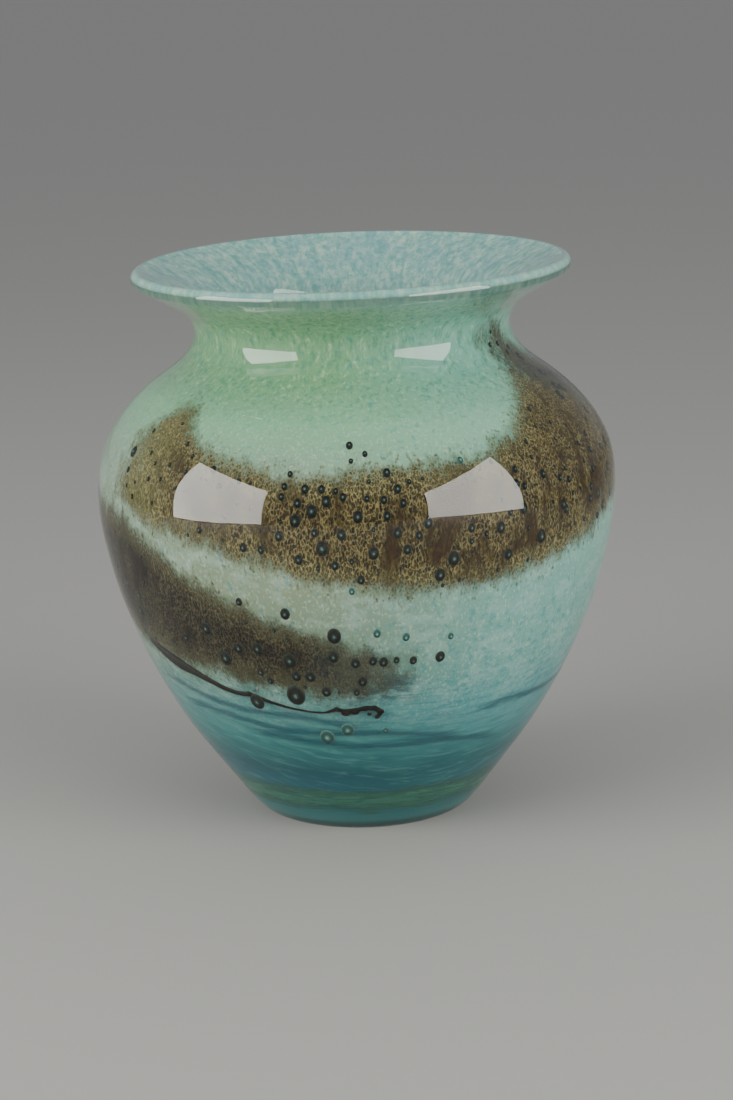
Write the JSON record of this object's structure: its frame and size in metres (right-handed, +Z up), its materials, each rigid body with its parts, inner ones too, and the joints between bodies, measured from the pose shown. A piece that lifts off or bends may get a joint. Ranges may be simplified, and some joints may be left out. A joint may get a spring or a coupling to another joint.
{
  "type": "hand blown glass vase",
  "caption": "Round bellied glass vase with a flared lip, built of fused layers: aqua and teal colour with lacy brown trails between a lining and a clear casing.",
  "frame": {"origin": "centre of the foot, on the surface it stands on", "axes": "+Z up along the vase's axis, -Y to the front, +X to the front's right"},
  "size_m": [0.1416, 0.1416, 0.152],
  "materials": {
    "clear_casing": "clear, fire polished, glossy",
    "aqua_frit": "opaque aqua and sage frit, fine mottle",
    "teal_frit": "opaque teal streaked colour",
    "clear_lining": "clear, pale blue tint, glossy",
    "brown_lace": "olive brown, broken into fine lace",
    "dark_brown_lace": "dark brown, broken into lace",
    "black_glass": "near black, drawn thread",
    "blue_glass": "deep blue, drawn threads",
    "green_glass": "sage green, translucent"
  },
  "bodies": {
    "root": {"outer_casing": "clear_casing", "aqua_color_layer": "aqua_frit", "teal_foot_layer": "teal_frit", "inner_gather": "clear_lining", "upper_brown_trail": "brown_lace", "climbing_brown_trail": "dark_brown_lace", "dark_thread": "black_glass", "blue_streak_threads": "blue_glass", "green_foot_wrap": "green_glass"}
  },
  "joints": []
}
